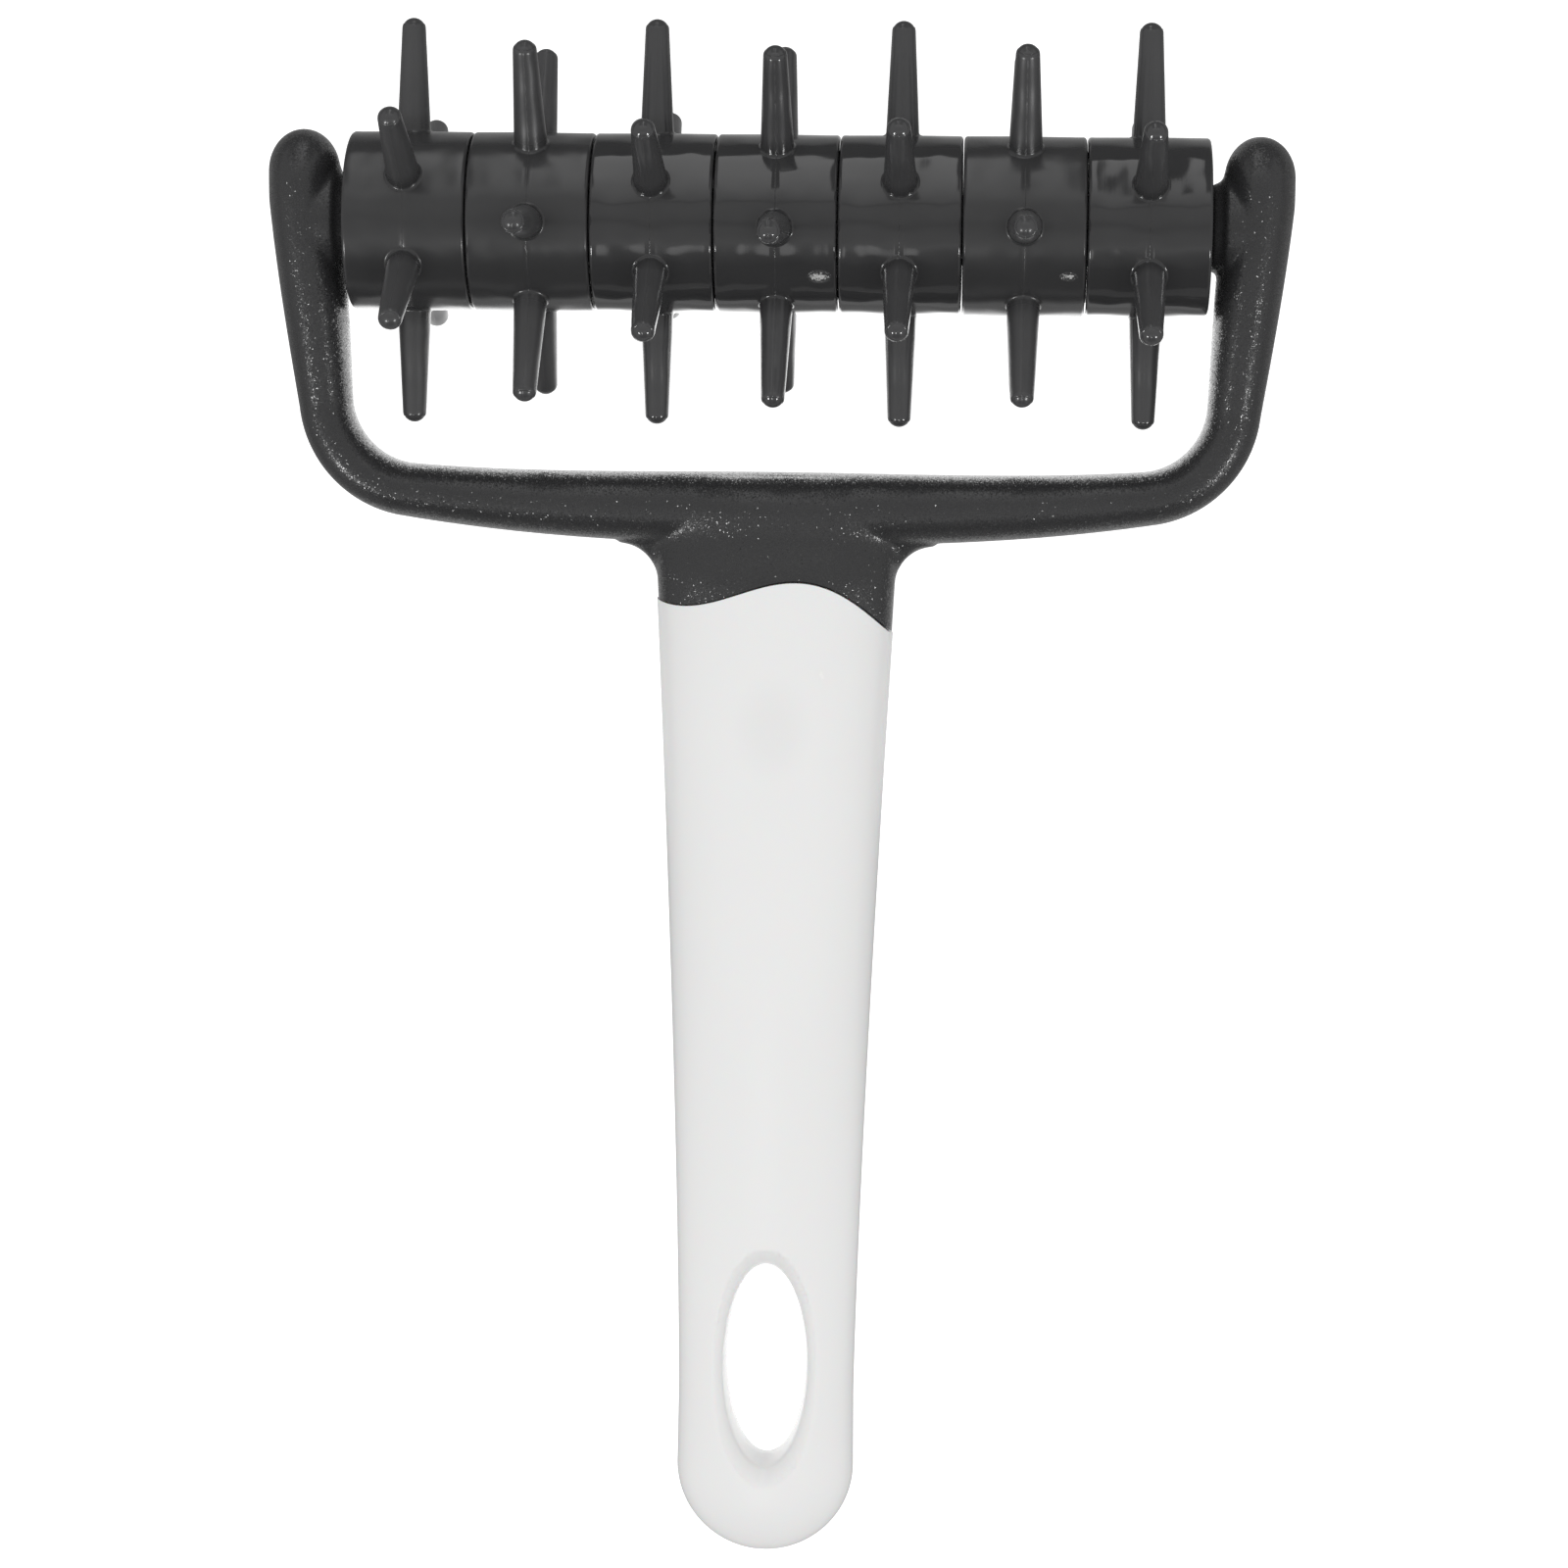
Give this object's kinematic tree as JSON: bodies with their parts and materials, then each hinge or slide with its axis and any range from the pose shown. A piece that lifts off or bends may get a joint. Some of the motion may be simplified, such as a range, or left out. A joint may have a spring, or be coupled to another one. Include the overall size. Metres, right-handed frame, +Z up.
{
  "type": "dough docker",
  "caption": "Hand roller for pricking dough: a spiked roller turns between the arms of a fork on a long handle with a hang hole.",
  "frame": {"origin": "on the table under the middle of the outline, with the docker lying on its lowest spikes and the underside of the handle's end", "axes": "+X along the roller's axis, +Y from the handle toward the roller, +Z up from the table"},
  "size_m": [0.1342, 0.2055, 0.0523],
  "materials": {
    "fork_plastic": "fine spark-eroded dark grey moulding",
    "handle_plastic": "semi-gloss white moulding",
    "rod_steel": "drawn round bar",
    "core_plastic": "smooth dark grey moulding",
    "ring_plastic": "polished dark grey moulding"
  },
  "bodies": {
    "frame": {"fork": "fork_plastic", "handle": "handle_plastic", "axle_rod": "rod_steel"},
    "roller": {"core_tube": "core_plastic", "end_plug_left": "core_plastic", "end_plug_right": "core_plastic", "spike_ring_1": "ring_plastic", "spike_ring_2": "ring_plastic", "spike_ring_3": "ring_plastic", "spike_ring_4": "ring_plastic", "spike_ring_5": "ring_plastic", "spike_ring_6": "ring_plastic", "spike_ring_7": "ring_plastic"}
  },
  "joints": [
    {"name": "roller_spin", "type": "hinge", "parent": "frame", "child": "roller", "pos_m": [0, 0.07655, 0.02618], "axis": [1, 0, 0], "continuous": true}
  ]
}
